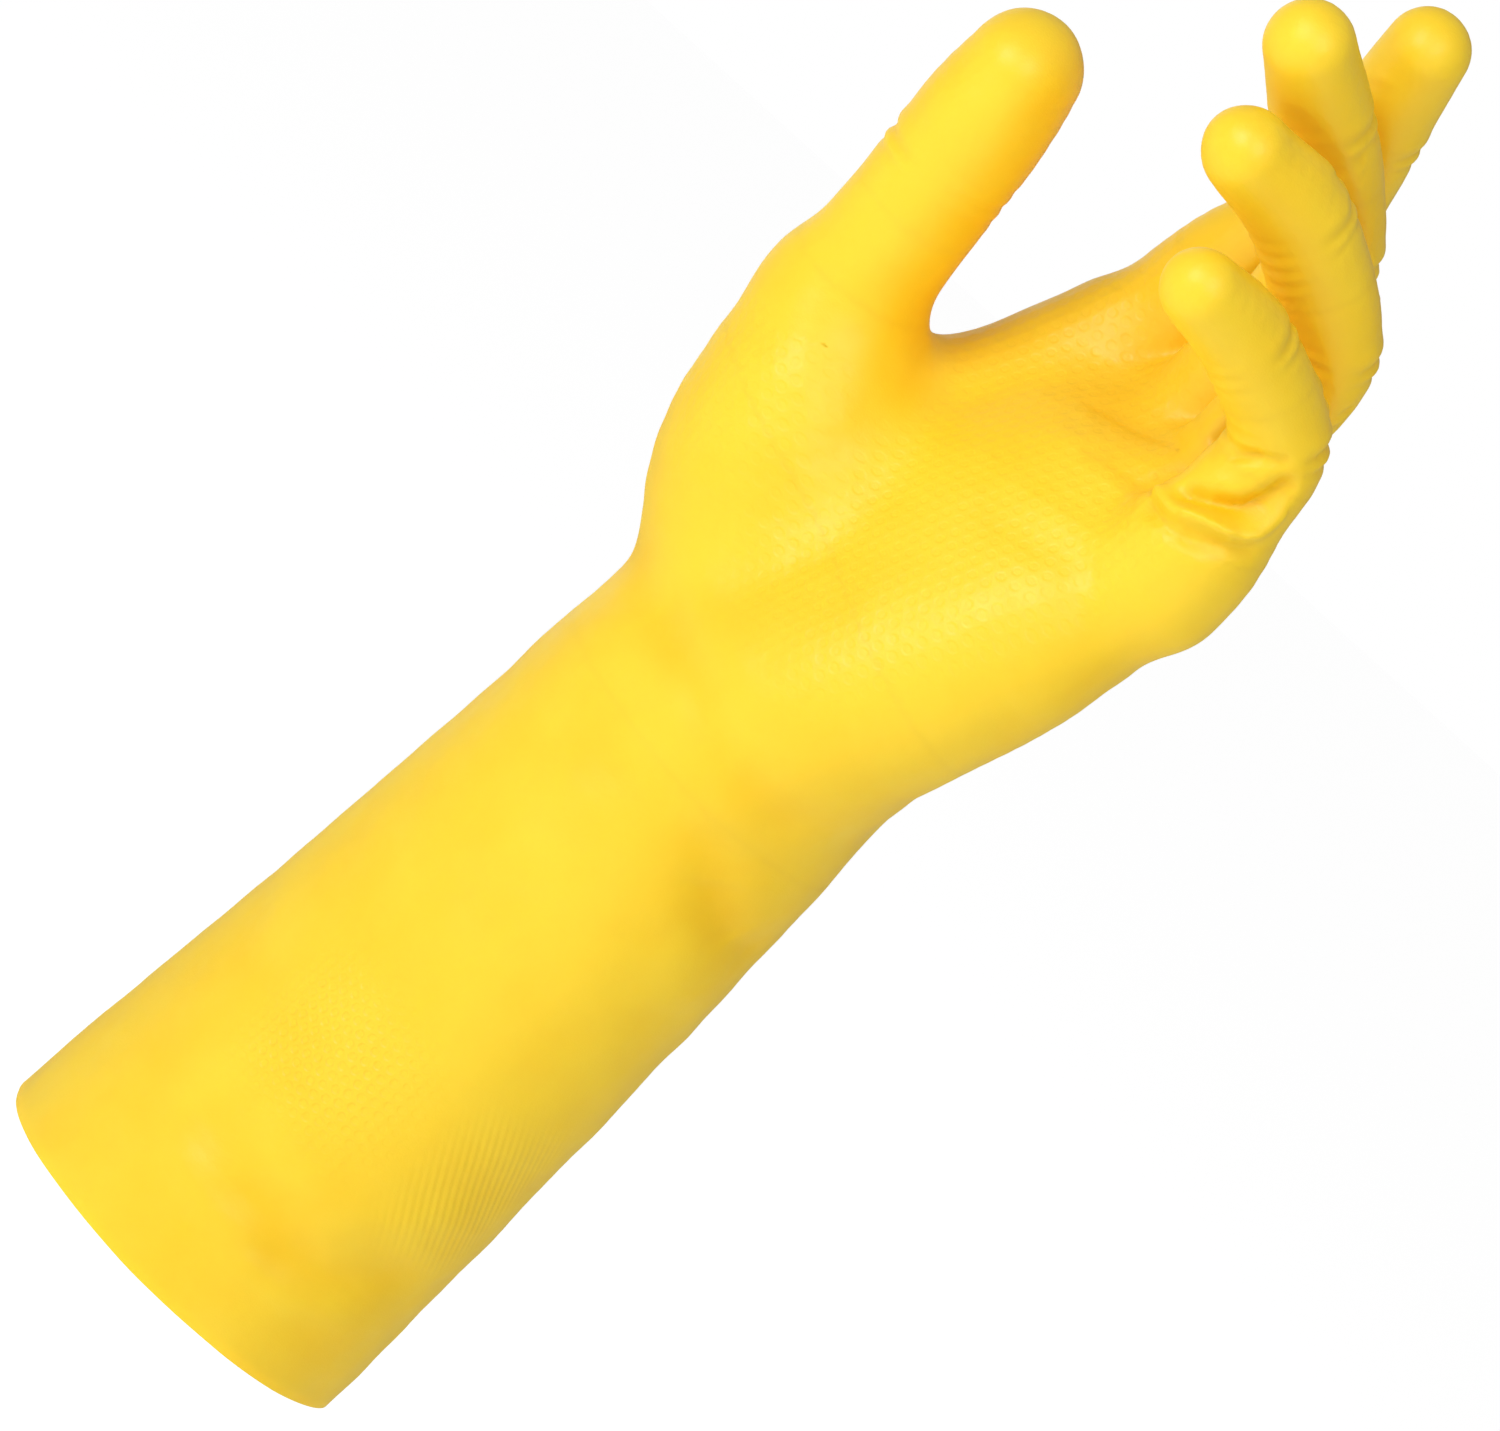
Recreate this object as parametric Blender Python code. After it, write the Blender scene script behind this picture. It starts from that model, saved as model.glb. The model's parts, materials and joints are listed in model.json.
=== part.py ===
"""A left-hand household rubber glove, in the shape it keeps on a hand that is open for a grip.

The glove is a dipped latex film with a flock lining inside it. The film is divided at the lines
where it folds, so every finger, the thumb, the knuckles and the wrist can be posed: a rigid
section of film on each side of a fold, and a thin flex band of film between them.

Lengths are in millimetres and angles in degrees, and MM turns the meshes into metres.
+Z runs along the sleeve towards the fingers, the palm faces -Y and the thumb side is -X.
The origin is the centre of the cuff opening.
"""

import math

import bpy
from mathutils import Matrix, Vector

MM = 0.001

# The film, the lining and the clearance between neighbouring pieces.
FILM = 0.6
LINING = 0.4
GAP = 0.3

# The forearm sleeve: height, half width and half depth of each ring.
SLEEVE_RINGS = ((0, 41.5, 36.5), (40, 39.8, 35), (80, 37.4, 33), (112, 35.4, 31.4))
SLEEVE_TOP = 112
SIDE_FOLD_AT = 118
WRIST_BOTTOM = 124
WRIST_TOP = 132.5
WRIST_AT = 142.8
WRIST_REACH = 10
SIDE_FOLD_SIZE = (34.8, 31)
WRIST_SIZE = (34, 30.4)
WRIST_CREASE_SIZE = (32.6, 29)
HAND_LEAN_SIDE = 9.4
HAND_LEAN_BACK = 10

# The palm in the hand's frame: height, centre x, centre y, half width, half depth.
PALM_RINGS = ((26, 1, -1.5, 34, 23.5), (46, 1, -2, 38, 20))
PALM_FOOT_SIZE = (32, 27.5)
KNUCKLE_FOLD_AT = (0.5, -1, 72)
KNUCKLE_FOLD_SLANT = 12.5
KNUCKLE_FOLD_REACH = 5.5
KNUCKLE_FOLD_SIZE = (40, 16.4)
KNUCKLE_CAP_AT = 14
KNUCKLE_CAP_LEAN = 12
KNUCKLE_CAP_SIZE = (38.6, 14.2)

# Each finger: knuckle place in the hand's frame, spread towards the thumb, bend at the
# knuckle, middle joint and end joint, bone lengths, distance from the knuckle to the fold at
# the root, and half widths at the knuckle, root, middle joint, end joint and tip.
FINGERS = {
    "index": {
        "knuckle": (-26.5, 0, 85),
        "spread": -10.5,
        "bends": (18, 20, 4),
        "bones": (39.7, 23.6, 16.1),
        "root_at": 22,
        "halves": (11.5, 8.7, 8.4, 8.1, 7.8),
    },
    "middle": {
        "knuckle": (-5.7, 1.9, 86),
        "spread": -5,
        "bends": (30, 36, 13),
        "bones": (43.5, 26.5, 17),
        "root_at": 22.5,
        "halves": (11.2, 8.3, 7.9, 7.7, 7.4),
    },
    "ring": {
        "knuckle": (13.2, 0, 80.3),
        "spread": 0,
        "bends": (23, 53, 18),
        "bones": (39.7, 25.5, 17),
        "root_at": 21,
        "halves": (10.8, 8, 7.6, 7.3, 7),
    },
    "little": {
        "knuckle": (29.3, -4.7, 72.8),
        "spread": 4,
        "bends": (22, 56, 17),
        "bones": (32.1, 19.8, 14.2),
        "root_at": 17.5,
        "halves": (10, 7.3, 7, 6.6, 6.3),
    },
}
KNUCKLE_DEPTH = 1.1
FINGER_DEPTH = 1.06
# Height above the knuckle fold where the fingers' stubs start, and the length to their waist.
STUB_FROM = 11.5
STUB_WAIST = 5
# How far the stub has narrowed at its waist, from 0 for the knuckle to 1 for the root.
STUB_WAIST_SHARE = 0.4
# How far a hollow runs on past the open end of a section.
HOLLOW_OVERRUN = 2
ROOT_REACH = 3.6
# How far a flex band reaches from its joint on the palm side and on the back.
MIDDLE_REACH = (8.2, 4.2)
END_REACH = (6, 3.6)

# The thumb: where its long bone starts in the hand's frame, where it points, and the line its
# joints turn about.
THUMB_START = (-18.9, -9.4, 15.1)
THUMB_AIM = (-0.32, -0.65, 0.69)
THUMB_FOLD_LINE = (-0.76, 0.61, 0.23)
THUMB_BONES = (43.5, 32, 18.9)
THUMB_BEND = 24
THUMB_ROOT_AT = 13.5
THUMB_REACH = (6, 5)
THUMB_TIP_REACH = (7.5, 4.5)
THENAR_RINGS = ((9, 14, 14), (20, 20, 19), (32, 17.5, 16.5))
THUMB_KNUCKLE_SIZE = (14.6, 13.8)
THUMB_ROOT_SIZE = (12.2, 11.4)
THUMB_JOINT_SIZE = (11.3, 10)
THUMB_TIP_SIZE = (10.6, 8.9)

# The web between thumb and index finger, in the hand's frame.
WEB_FROM = (-27, -27, 36)
WEB_TO = (-26, -3, 63)
WEB_SIZE = (10.4, 12.6)

SLEEVE_SIDES = 28
FINGER_SIDES = 12
DOME_STEPS = 3

FILM_COLOUR = (0.93, 0.64, 0.05)
FOLD_COLOUR = (0.86, 0.55, 0.03)
LINING_COLOUR = (0.95, 0.87, 0.55)
# Colour and roughness of each kind of piece.
KINDS = {
    "film": (FILM_COLOUR, 0.42),
    "fold": (FOLD_COLOUR, 0.46),
    "lining": (LINING_COLOUR, 0.95),
}
# Edges that turn by more than this many degrees stay sharp.
SHARP_EDGE = 50

# Each joint's place and turn, in metres, by name.
WORLD = {}


def clear_scene():
    for obj in list(bpy.data.objects):
        bpy.data.objects.remove(obj)


def turned(degrees, axis):
    return Matrix.Rotation(math.radians(degrees), 4, axis)


def moved(x, y, z):
    return Matrix.Translation((x, y, z))


def aimed(origin, along, across):
    """A frame whose Z points along and whose X is the nearest square direction to across."""
    z = Vector(along).normalized()
    y = z.cross(Vector(across)).normalized()
    x = y.cross(z)
    frame = Matrix((x, y, z)).transposed().to_4x4()
    frame.translation = Vector(origin)
    return frame


def station(frame, half_width, half_depth, slope=0.0, sides=FINGER_SIDES):
    """One ring of the film: its frame, its half sizes, and how far its plane leans."""
    return {"frame": frame, "half": (half_width, half_depth), "slope": slope, "sides": sides}


def ring_points(ring, inset):
    width = ring["half"][0] - inset
    depth = ring["half"][1] - inset
    points = []
    for step in range(ring["sides"]):
        angle = 2 * math.pi * (step + 0.5) / ring["sides"]
        up = depth * math.sin(angle)
        local = Vector((width * math.cos(angle), up, ring["slope"] * up))
        points.append(ring["frame"] @ local)
    return points


def dome_stations(frame, half_width, half_depth):
    """Rings of a rounded end whose sphere is centred on the frame's origin."""
    rings = []
    for step in range(1, DOME_STEPS):
        angle = 0.5 * math.pi * step / DOME_STEPS
        shrink = math.cos(angle)
        rise = half_depth * math.sin(angle)
        rings.append(station(frame @ moved(0, 0, rise), half_width * shrink, half_depth * shrink))
    return rings


def skin_faces(first, count, sides, inward):
    """Triangles along a skin of count rings whose points start at index first.

    Every skin splits its quads the same way, so that nested skins stay parallel.
    """
    faces = []
    for row in range(count - 1):
        for step in range(sides):
            after = (step + 1) % sides
            low = first + row * sides
            high = low + sides
            for triangle in ((low + step, low + after, high + after), (low + step, high + after, high + step)):
                faces.append(triangle[::-1] if inward else triangle)
    return faces


def shell_mesh(name, rings, outer_inset, inner_inset, tip=None):
    """A hollow skin through the rings, open at both ends, or closed by a pole at the far end."""
    sides = rings[0]["sides"]
    points = []
    for inset in (outer_inset, inner_inset):
        for ring in rings:
            points.extend(ring_points(ring, inset))
    inner_first = len(rings) * sides
    faces = skin_faces(0, len(rings), sides, inward=False)
    faces += skin_faces(inner_first, len(rings), sides, inward=True)
    last_outer = (len(rings) - 1) * sides
    last_inner = inner_first + last_outer
    poles = len(points)
    if tip:
        frame, rise = tip
        points.append(frame @ Vector((0, 0, rise - outer_inset)))
        points.append(frame @ Vector((0, 0, rise - inner_inset)))
    for step in range(sides):
        after = (step + 1) % sides
        faces.append((step, inner_first + step, inner_first + after, after))
        if tip:
            faces.append((last_outer + step, last_outer + after, poles))
            faces.append((last_inner + after, last_inner + step, poles + 1))
        else:
            faces.append((last_outer + step, last_outer + after, last_inner + after, last_inner + step))
    return mesh_of(name, points, faces)


def solid_mesh(name, rings, inset):
    """A closed solid through the rings with flat ends."""
    sides = rings[0]["sides"]
    points = []
    for ring in rings:
        points.extend(ring_points(ring, inset))
    faces = skin_faces(0, len(rings), sides, inward=False)
    last = (len(rings) - 1) * sides
    faces.append(tuple(range(sides))[::-1])
    faces.append(tuple(range(last, last + sides)))
    return mesh_of(name, points, faces)


def mesh_of(name, points, faces):
    mesh = bpy.data.meshes.new(name)
    mesh.from_pydata([tuple(point * MM) for point in points], [], faces)
    mesh.update()
    return mesh


def material_of(name, colour, roughness):
    material = bpy.data.materials.new(name)
    material.use_nodes = True
    shader = material.node_tree.nodes["Principled BSDF"]
    shader.inputs["Base Color"].default_value = (*colour, 1)
    shader.inputs["Roughness"].default_value = roughness
    shader.inputs["Metallic"].default_value = 0
    return material


def joint_empty(name, frame, parent=None):
    """An empty on a fold's joint, with its X along the hinge line."""
    empty = bpy.data.objects.new(name, None)
    bpy.context.collection.objects.link(empty)
    world = frame.copy()
    world.translation = frame.translation * MM
    if parent:
        empty.parent = parent
        empty.matrix_local = WORLD[parent.name].inverted() @ world
    else:
        empty.matrix_local = world
    WORLD[name] = world
    return empty


def place(name, mesh, joint, kind):
    """Makes a named object of a mesh in the glove's frame, carried by a joint's empty."""
    colour, roughness = KINDS[kind]
    if joint:
        mesh.transform(WORLD[joint.name].inverted())
    obj = bpy.data.objects.new(name, mesh)
    bpy.context.collection.objects.link(obj)
    obj.parent = joint
    mesh.materials.append(material_of(name, colour, roughness))
    mesh.shade_smooth()
    mesh.set_sharp_from_angle(angle=math.radians(SHARP_EDGE))
    return obj


def film_and_lining(name, rings, joint, tip=None):
    """A rigid section of the film, and the lining that backs it."""
    place(name, shell_mesh(name, rings, 0, FILM, tip), joint, "film")
    inside = FILM + GAP
    lining = name + "_lining"
    place(lining, shell_mesh(lining, shortened(rings, tip), inside, inside + LINING, tip), joint, "lining")


def shortened(rings, tip):
    """The same rings with the open ends drawn in, so the lining stops inside the film's edge."""
    ends = [dict(ring) for ring in rings]
    ends[0]["frame"] = ends[0]["frame"] @ moved(0, 0, GAP)
    if not tip:
        ends[-1]["frame"] = ends[-1]["frame"] @ moved(0, 0, -GAP)
    return ends


def flex_band(name, rings, joint):
    """A thin band of film across a fold."""
    place(name, shell_mesh(name, rings, 0, FILM), joint, "fold")


def helper_group(name, meshes):
    """A collection of wire-only objects for a Boolean to use."""
    group = bpy.data.collections.new(name)
    bpy.context.scene.collection.children.link(group)
    for mesh in meshes:
        obj = bpy.data.objects.new(mesh.name, mesh)
        obj.hide_render = True
        obj.display_type = "WIRE"
        group.objects.link(obj)
    return group


def joined_section(name, joint, kind, lumps, hollows):
    """A hollow section: the first lump joined to the others, then emptied by the hollows."""
    obj = place(name, lumps[0], joint, kind)
    for operation, meshes in (("UNION", lumps[1:]), ("DIFFERENCE", hollows)):
        modifier = obj.modifiers.new(operation.title(), "BOOLEAN")
        modifier.operation = operation
        modifier.operand_type = "COLLECTION"
        modifier.collection = helper_group(f"{name}_{operation.lower()}", meshes)
        modifier.solver = "EXACT"
    return obj


def branching_section(name, joint, solids, open_ends):
    """The film and the lining of a section that several tubes join.

    solids are lists of rings. open_ends says, for each, whether its first and last ring are
    open: its hollow runs on past an open end.
    """
    layers = ((name, "film", 0, FILM), (name + "_lining", "lining", FILM + GAP, FILM + GAP + LINING))
    for layer, kind, outside, inside in layers:
        trim = GAP if kind == "lining" else 0
        lumps = []
        hollows = []
        for number, (rings, ends) in enumerate(zip(solids, open_ends)):
            label = f"{layer}_{number}"
            lumps.append(solid_mesh(label, drawn_in(rings, ends, trim, outside), outside))
            hollow_rings = run_on(drawn_in(rings, ends, 0, inside), ends)
            hollows.append(solid_mesh(label + "_hollow", hollow_rings, inside))
        joined_section(layer, joint, kind, lumps, hollows)


def drawn_in(rings, open_ends, trim, inset):
    """The rings with open ends drawn in by trim, and closed ends by inset."""
    drawn = [dict(ring) for ring in rings]
    for place_number, is_open, inwards in ((0, open_ends[0], 1), (-1, open_ends[1], -1)):
        ring = drawn[place_number]
        ring["frame"] = ring["frame"] @ moved(0, 0, inwards * (trim if is_open else inset))
    return drawn


def run_on(rings, open_ends):
    """The rings with one more ring past each open end."""
    first = [dict(rings[0], frame=rings[0]["frame"] @ moved(0, 0, -HOLLOW_OVERRUN))]
    last = [dict(rings[-1], frame=rings[-1]["frame"] @ moved(0, 0, HOLLOW_OVERRUN))]
    return (first if open_ends[0] else []) + rings + (last if open_ends[1] else [])


def wide(frame, size, slope=0.0):
    return station(frame, size[0], size[1], slope, SLEEVE_SIDES)


def hand_frame():
    return moved(0, 0, WRIST_AT) @ turned(HAND_LEAN_SIDE, "Y") @ turned(-HAND_LEAN_BACK, "X")


def make_sleeve():
    """The cuff and forearm, which the other pieces are carried by."""
    rings = [wide(moved(0, 0, z), (width, depth)) for z, width, depth in SLEEVE_RINGS]
    film_and_lining("cuff_sleeve", rings, None)


def make_wrist():
    """The short section between the sideways fold and the wrist crease."""
    side_joint = joint_empty("wrist_side_joint", moved(0, 0, SIDE_FOLD_AT) @ turned(90, "Z"))
    top = SLEEVE_RINGS[-1][1:]
    band = [
        wide(moved(0, 0, SLEEVE_TOP + GAP), top),
        wide(moved(0, 0, SIDE_FOLD_AT), SIDE_FOLD_SIZE),
        wide(moved(0, 0, WRIST_BOTTOM - GAP), WRIST_SIZE),
    ]
    flex_band("wrist_side_fold", band, None)
    rings = [wide(moved(0, 0, z), WRIST_SIZE) for z in (WRIST_BOTTOM, WRIST_TOP)]
    film_and_lining("wrist_section", rings, side_joint)
    return side_joint


def make_palm(side_joint):
    hand = hand_frame()
    half_turned = moved(0, 0, WRIST_AT) @ turned(HAND_LEAN_SIDE / 2, "Y") @ turned(-HAND_LEAN_BACK / 2, "X")
    wrist_joint = joint_empty("wrist_joint", hand, side_joint)
    crease = [
        wide(moved(0, 0, WRIST_TOP + GAP), WRIST_SIZE),
        wide(half_turned, WRIST_CREASE_SIZE),
        wide(hand @ moved(0, 0, WRIST_REACH - GAP), PALM_FOOT_SIZE),
    ]
    flex_band("wrist_crease", crease, side_joint)

    fold = hand @ moved(*KNUCKLE_FOLD_AT) @ turned(KNUCKLE_FOLD_SLANT, "Y")
    palm = [wide(hand @ moved(0, 0, WRIST_REACH), PALM_FOOT_SIZE)]
    for z, x, y, width, depth in PALM_RINGS:
        palm.append(wide(hand @ moved(x, y, z), (width, depth)))
    palm.append(wide(fold @ moved(0, 0, -KNUCKLE_FOLD_REACH - GAP), KNUCKLE_FOLD_SIZE))

    thenar, web = thenar_rings(hand), web_rings(hand)
    branching_section(
        "palm_shell",
        wrist_joint,
        (palm, thenar, web),
        ((True, True), (False, True), (False, False)),
    )
    return hand, fold, wrist_joint


def thumb_frames(hand):
    """Frames at the thumb's start, knuckle, root fold, last joint and tip."""
    start = hand @ aimed(THUMB_START, THUMB_AIM, THUMB_FOLD_LINE)
    knuckle = start @ moved(0, 0, THUMB_BONES[0])
    bent = knuckle @ turned(THUMB_BEND, "X")
    root = bent @ moved(0, 0, THUMB_ROOT_AT)
    last = bent @ moved(0, 0, THUMB_BONES[1])
    tip = last @ moved(0, 0, THUMB_BONES[2])
    return start, knuckle, root, last, tip


def thenar_rings(hand):
    start, knuckle, root, _last, _tip = thumb_frames(hand)
    rings = [station(start @ moved(0, 0, z), width, depth) for z, width, depth in THENAR_RINGS]
    rings.append(station(knuckle @ turned(THUMB_BEND / 2, "X"), *THUMB_KNUCKLE_SIZE))
    rings.append(joint_ring(root, -1, THUMB_REACH, THUMB_ROOT_SIZE))
    return rings


def web_rings(hand):
    along = Vector(WEB_TO) - Vector(WEB_FROM)
    frame = hand @ aimed(WEB_FROM, along, (1, 0, 0))
    return [
        station(frame, *WEB_SIZE),
        station(frame @ moved(0, 0, along.length), *WEB_SIZE),
    ]


def joint_ring(joint, side, reach, size, gap=0.0):
    """The ring where a section ends near a joint, side -1 before it and 1 after it.

    reach is how far the flex band runs on the palm side and on the back, so the ring leans.
    """
    palm_side, back = reach
    middle = (palm_side + back) / 2 - gap
    lean = (palm_side - back) / 2 / size[1]
    return station(joint @ moved(0, 0, side * middle), size[0], size[1], -side * lean)


def band_rings(before, after, bend, reach, sizes):
    """A flex band from the ring before a joint, round the bend, to the ring after it."""
    size_before, size_at, size_after = sizes
    depth = size_at[1] / math.cos(math.radians(bend / 2))
    return [
        joint_ring(before, -1, reach, size_before, GAP),
        station(before @ turned(bend / 2, "X"), size_at[0], depth),
        joint_ring(after, 1, reach, size_after, GAP),
    ]


def between(first, second, share):
    return tuple(a + (b - a) * share for a, b in zip(first, second))


def make_knuckles(hand, fold, wrist_joint):
    knuckle_joint = joint_empty("knuckle_joint", fold, wrist_joint)
    band = [
        wide(fold @ moved(0, 0, -KNUCKLE_FOLD_REACH), KNUCKLE_FOLD_SIZE),
        wide(fold, KNUCKLE_FOLD_SIZE),
        wide(fold @ moved(0, 0, KNUCKLE_FOLD_REACH), KNUCKLE_FOLD_SIZE),
    ]
    flex_band("knuckle_fold", band, wrist_joint)
    row = [
        wide(fold @ moved(0, 0, KNUCKLE_FOLD_REACH + GAP), KNUCKLE_FOLD_SIZE),
        wide(fold @ moved(0, 0, KNUCKLE_CAP_AT) @ turned(KNUCKLE_CAP_LEAN, "X"), KNUCKLE_CAP_SIZE),
    ]
    solids = [row]
    open_ends = [(True, False)]
    for finger in FINGERS.values():
        knuckle, root, _middle, _end, _tip = finger_frames(hand, finger)
        big = (finger["halves"][0], finger["halves"][0] * KNUCKLE_DEPTH)
        small = finger_size(finger, 1)
        start = STUB_FROM - (fold.inverted() @ knuckle.translation).z
        half_bend = turned(-finger["bends"][0] / 2, "X")
        solids.append(
            [
                station(knuckle @ moved(0, 0, start) @ half_bend, *big),
                station(knuckle @ moved(0, 0, start + STUB_WAIST), *between(big, small, STUB_WAIST_SHARE)),
                joint_ring(root, -1, (ROOT_REACH, ROOT_REACH), small),
            ]
        )
        open_ends.append((False, True))
    branching_section("knuckle_row", knuckle_joint, solids, open_ends)
    return knuckle_joint


def finger_size(finger, place_number):
    half = finger["halves"][place_number]
    return (half, half * FINGER_DEPTH)


def finger_frames(hand, finger):
    """Frames at a finger's knuckle, root fold, middle joint, end joint and tip, before each bend."""
    first, second, third = finger["bones"]
    spread = turned(-finger["spread"], "Y")
    knuckle = hand @ moved(*finger["knuckle"]) @ spread @ turned(finger["bends"][0], "X")
    root = knuckle @ moved(0, 0, finger["root_at"])
    middle = knuckle @ moved(0, 0, first)
    end = middle @ turned(finger["bends"][1], "X") @ moved(0, 0, second)
    tip = end @ turned(finger["bends"][2], "X") @ moved(0, 0, third)
    return knuckle, root, middle, end, tip


def make_finger(name, finger, hand, knuckle_joint):
    _knuckle, root, middle, end, tip = finger_frames(hand, finger)
    _knuckle_bend, middle_bend, end_bend = finger["bends"]
    root_size, middle_size, end_size, tip_size = [finger_size(finger, k) for k in (1, 2, 3, 4)]
    middle_after = middle @ turned(middle_bend, "X")
    end_after = end @ turned(end_bend, "X")
    root_reach = (ROOT_REACH, ROOT_REACH)

    root_joint = joint_empty(name + "_root_joint", root, knuckle_joint)
    middle_joint = joint_empty(name + "_middle_joint", middle_after, root_joint)
    end_joint = joint_empty(name + "_end_joint", end_after, middle_joint)

    rings = band_rings(root, root, 0, root_reach, (root_size, root_size, root_size))
    flex_band(name + "_root_fold", rings, knuckle_joint)
    rings = [
        joint_ring(root, 1, root_reach, root_size),
        joint_ring(middle, -1, MIDDLE_REACH, middle_size),
    ]
    film_and_lining(name + "_base", rings, root_joint)
    rings = band_rings(middle, middle_after, middle_bend, MIDDLE_REACH, (middle_size,) * 3)
    flex_band(name + "_middle_fold", rings, root_joint)
    rings = [
        joint_ring(middle_after, 1, MIDDLE_REACH, middle_size),
        joint_ring(end, -1, END_REACH, end_size),
    ]
    film_and_lining(name + "_middle", rings, middle_joint)
    rings = band_rings(end, end_after, end_bend, END_REACH, (end_size,) * 3)
    flex_band(name + "_end_fold", rings, middle_joint)
    rings = [joint_ring(end_after, 1, END_REACH, end_size), station(tip, *tip_size)]
    rings += dome_stations(tip, *tip_size)
    film_and_lining(name + "_tip", rings, end_joint, tip=(tip, tip_size[1]))


def make_thumb(hand, wrist_joint):
    _start, _knuckle, root, last, tip = thumb_frames(hand)
    root_joint = joint_empty("thumb_root_joint", root, wrist_joint)
    end_joint = joint_empty("thumb_end_joint", last, root_joint)
    rings = band_rings(root, root, 0, THUMB_REACH, (THUMB_ROOT_SIZE,) * 3)
    flex_band("thumb_root_fold", rings, wrist_joint)
    rings = [
        joint_ring(root, 1, THUMB_REACH, THUMB_ROOT_SIZE),
        joint_ring(last, -1, THUMB_TIP_REACH, THUMB_JOINT_SIZE),
    ]
    film_and_lining("thumb_base", rings, root_joint)
    rings = band_rings(last, last, 0, THUMB_TIP_REACH, (THUMB_JOINT_SIZE,) * 3)
    flex_band("thumb_end_fold", rings, root_joint)
    rings = [joint_ring(last, 1, THUMB_TIP_REACH, THUMB_JOINT_SIZE), station(tip, *THUMB_TIP_SIZE)]
    rings += dome_stations(tip, *THUMB_TIP_SIZE)
    film_and_lining("thumb_tip", rings, end_joint, tip=(tip, THUMB_TIP_SIZE[1]))


def main():
    clear_scene()
    make_sleeve()
    side_joint = make_wrist()
    hand, fold, wrist_joint = make_palm(side_joint)
    knuckle_joint = make_knuckles(hand, fold, wrist_joint)
    for name, finger in FINGERS.items():
        make_finger(name, finger, hand, knuckle_joint)
    make_thumb(hand, wrist_joint)


main()
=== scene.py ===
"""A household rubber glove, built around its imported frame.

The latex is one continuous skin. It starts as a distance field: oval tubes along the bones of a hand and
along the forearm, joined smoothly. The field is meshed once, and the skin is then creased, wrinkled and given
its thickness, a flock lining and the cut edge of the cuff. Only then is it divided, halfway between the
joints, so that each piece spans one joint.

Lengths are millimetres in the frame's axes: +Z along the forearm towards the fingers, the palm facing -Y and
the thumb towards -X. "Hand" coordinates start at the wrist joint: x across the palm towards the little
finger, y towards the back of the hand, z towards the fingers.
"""

import json
import math

import bpy
import numpy as np
from mathutils import Matrix, Vector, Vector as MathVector

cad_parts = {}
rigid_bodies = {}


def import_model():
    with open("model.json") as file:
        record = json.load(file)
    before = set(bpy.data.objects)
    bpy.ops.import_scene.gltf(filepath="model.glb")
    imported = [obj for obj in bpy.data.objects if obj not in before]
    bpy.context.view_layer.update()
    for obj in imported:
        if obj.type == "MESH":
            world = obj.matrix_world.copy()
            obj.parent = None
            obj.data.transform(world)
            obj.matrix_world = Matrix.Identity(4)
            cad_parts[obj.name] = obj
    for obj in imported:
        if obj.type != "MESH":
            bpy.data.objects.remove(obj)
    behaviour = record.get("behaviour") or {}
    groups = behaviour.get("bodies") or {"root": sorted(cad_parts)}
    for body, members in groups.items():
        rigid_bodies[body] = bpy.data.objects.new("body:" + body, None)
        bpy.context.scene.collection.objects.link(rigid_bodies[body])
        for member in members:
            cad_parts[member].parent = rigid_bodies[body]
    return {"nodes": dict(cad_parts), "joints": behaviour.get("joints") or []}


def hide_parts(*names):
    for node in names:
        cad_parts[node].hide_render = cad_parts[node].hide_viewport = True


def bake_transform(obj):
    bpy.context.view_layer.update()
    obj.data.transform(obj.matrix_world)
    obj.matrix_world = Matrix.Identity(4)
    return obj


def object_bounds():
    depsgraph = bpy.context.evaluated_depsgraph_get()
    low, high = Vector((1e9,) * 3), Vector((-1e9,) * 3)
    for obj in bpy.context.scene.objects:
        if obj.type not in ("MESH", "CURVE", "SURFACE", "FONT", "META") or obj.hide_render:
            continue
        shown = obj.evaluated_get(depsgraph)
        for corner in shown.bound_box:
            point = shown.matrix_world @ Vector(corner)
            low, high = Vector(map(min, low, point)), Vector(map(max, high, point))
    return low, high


MM = 0.001

# ---------------------------------------------------------------- skin, in millimetres
VOXEL = 0.8
# Room round the CAD for the field, below and above it, and round a tube for its own distances.
FIELD_ROOM = ((12, 12, 8), (12, 12, 6))
TUBE_ROOM = 14.0
EMPTY = 25.0
FAR = 1e9
SPINE_STEP = 3.0
FILM = 0.55
LINING = 0.35
LINING_GAP = 0.05
# The lining stops this far inside the cuff's edge, and takes up its own height again over the next stretch.
LINING_SET_BACK = 1.6
LINING_SET_BACK_FADE = 6.0

# Forearm sleeve: x, y, height, half width, half depth. It starts below the cuff, where it is cut off.
SLEEVE = ((0, 0, -9, 42.7, 37.2), (0, 0, 0, 42.3, 36.9), (0.4, 0.5, 40, 39.9, 35.1),
          (0.4, 0.5, 80, 37.3, 32.9), (0.2, 0.3, 112, 35.6, 31.5), (0, 0, 128, 34.5, 30.6))
# Palm and its heel at the little finger's side, in hand coordinates: x, y, z, half width, half depth.
PALM = ((0, 0, 0, 34.0, 28.8), (-1.2, -1.4, 12, 35.4, 26.6), (0.8, -2.6, 26, 34.0, 24.1),
        (1.2, -3.4, 46, 37.6, 20.7), (0.0, -1.3, 64, 37.6, 17.0), (0.0, 0.6, 76, 36.0, 12.9))
HEEL = ((17.5, -7, 4, 17.4, 17.4), (22.4, -7, 22, 16.5, 16.5), (25.5, -4, 44, 13.2, 13.8),
        (25.8, -2, 58, 9.6, 11.2))

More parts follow.
